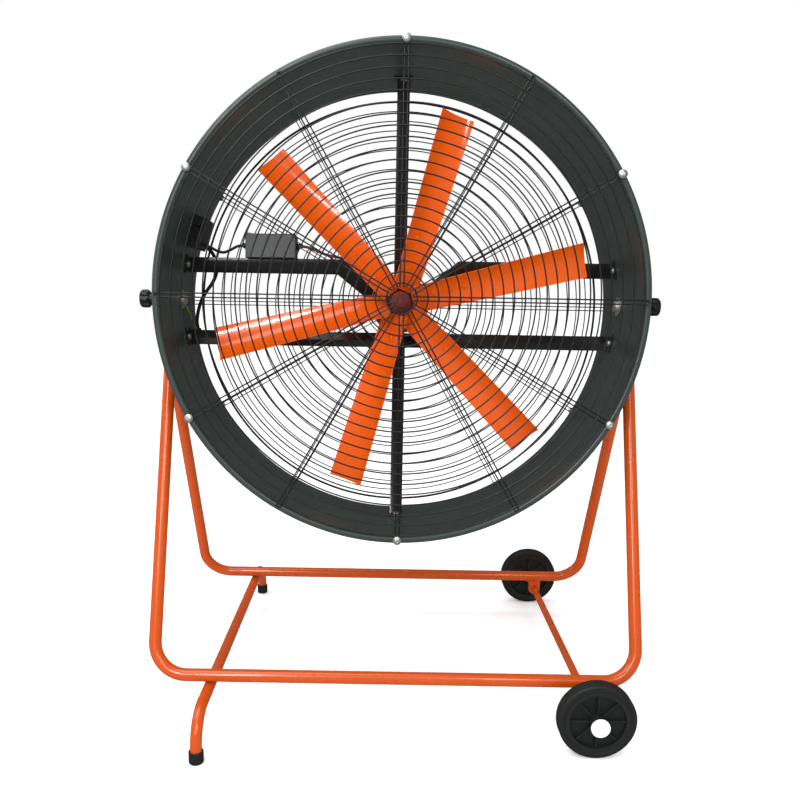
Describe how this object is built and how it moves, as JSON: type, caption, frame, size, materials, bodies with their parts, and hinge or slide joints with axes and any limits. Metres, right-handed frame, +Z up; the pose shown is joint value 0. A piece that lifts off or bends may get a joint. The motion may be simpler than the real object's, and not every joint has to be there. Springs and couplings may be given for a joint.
{
  "type": "drum fan",
  "caption": "Tilting drum fan with a guarded steel drum and radial sheet blades on a crossed-tube stand with a foot rail and a wheeled axle.",
  "frame": {"origin": "on the floor, in the middle of the outer box, below the tilt axis", "axes": "+Z up, -Y the way the air is blown, +X towards the wheels"},
  "size_m": [1.12, 0.852, 1.3427],
  "materials": {
    "frame_paint": "glossy orange powder coat",
    "blade_paint": "glossy orange paint",
    "hub_paint": "dark red primer",
    "drum_paint": "semi-gloss black-green powder coat",
    "strut_paint": "semi-gloss black paint",
    "guard_wire": "black coated wire",
    "zinc": "zinc plated",
    "motor_paint": "satin blue-grey paint",
    "rubber": "matt black",
    "black_plastic": "moulded black plastic",
    "box_plastic": "moulded dark grey plastic",
    "white_plastic": "moulded white plastic",
    "earth_insulation": "green-yellow insulation"
  },
  "bodies": {
    "stand": {"front_frame": "frame_paint", "rear_frame": "frame_paint", "foot_rail": "frame_paint", "foot_cap_front": "rubber", "foot_cap_rear": "rubber", "axle_rod": "frame_paint", "axle_brackets": "frame_paint", "axle_collars": "zinc", "wheel_caps": "white_plastic", "leg_plugs": "black_plastic", "pivot_washers": "zinc"},
    "front_wheel": {"front_wheel_centre": "black_plastic", "front_tyre": "rubber"},
    "rear_wheel": {"rear_wheel_centre": "black_plastic", "rear_tyre": "rubber"},
    "drum": {"drum_shell": "drum_paint", "front_guard_rings": "guard_wire", "front_guard_spokes": "guard_wire", "rear_guard_rings": "guard_wire", "rear_guard_spokes": "guard_wire", "guard_screws": "zinc", "upper_strut_left": "strut_paint", "upper_strut_right": "strut_paint", "lower_strut": "strut_paint", "top_strut": "strut_paint", "bottom_strut": "strut_paint", "strut_bolts": "zinc", "motor_band": "zinc", "motor_shell": "motor_paint", "motor_front_bell": "motor_paint", "motor_rear_bell": "motor_paint", "stator_core": "zinc", "motor_bearings": "zinc", "junction_box": "box_plastic", "junction_cover": "box_plastic", "run_capacitor": "box_plastic", "box_screws": "zinc", "switch_housing": "black_plastic", "cable_glands": "black_plastic", "supply_cable": "rubber", "switch_cable": "rubber", "motor_cable": "rubber", "earth_lead": "earth_insulation", "pivot_pads": "drum_paint", "pivot_bolts": "zinc"},
    "rotor": {"blade_1": "blade_paint", "blade_2": "blade_paint", "blade_3": "blade_paint", "blade_4": "blade_paint", "blade_5": "blade_paint", "blade_6": "blade_paint", "blade_spider": "hub_paint", "blade_rivets": "blade_paint", "motor_shaft": "hub_paint", "rotor_core": "zinc", "hub_nut": "hub_paint"},
    "knob_right": {"clamp_knob_right": "black_plastic"},
    "knob_left": {"clamp_knob_left": "black_plastic"},
    "rocker": {"switch_rocker": "black_plastic"}
  },
  "joints": [
    {"name": "drum_tilt", "type": "hinge", "parent": "stand", "child": "drum", "pos_m": [0, 0, 0.84], "axis": [-1, 0, 0], "range_deg": [-25, 50]},
    {"name": "rotor_spin", "type": "hinge", "parent": "drum", "child": "rotor", "pos_m": [0, 0, 0.84], "axis": [0, 0.9968, -0.0793], "continuous": true},
    {"name": "front_wheel_spin", "type": "hinge", "parent": "stand", "child": "front_wheel", "pos_m": [0.384, -0.366, 0.075], "axis": [0, 1, 0], "continuous": true},
    {"name": "rear_wheel_spin", "type": "hinge", "parent": "stand", "child": "rear_wheel", "pos_m": [0.384, 0.386, 0.075], "axis": [0, 1, 0], "continuous": true},
    {"name": "knob_right_turn", "type": "hinge", "parent": "drum", "child": "knob_right", "pos_m": [0.55, 0, 0.84], "axis": [1, 0, 0], "range_deg": [0, 180]},
    {"name": "knob_left_turn", "type": "hinge", "parent": "drum", "child": "knob_left", "pos_m": [-0.55, 0, 0.84], "axis": [-1, 0, 0], "range_deg": [0, 180]},
    {"name": "rocker_press", "type": "hinge", "parent": "drum", "child": "rocker", "pos_m": [-0.43416, -0.00924, 0.98225], "axis": [-0.9511, 0.0245, 0.308], "range_deg": [0, 16]}
  ]
}
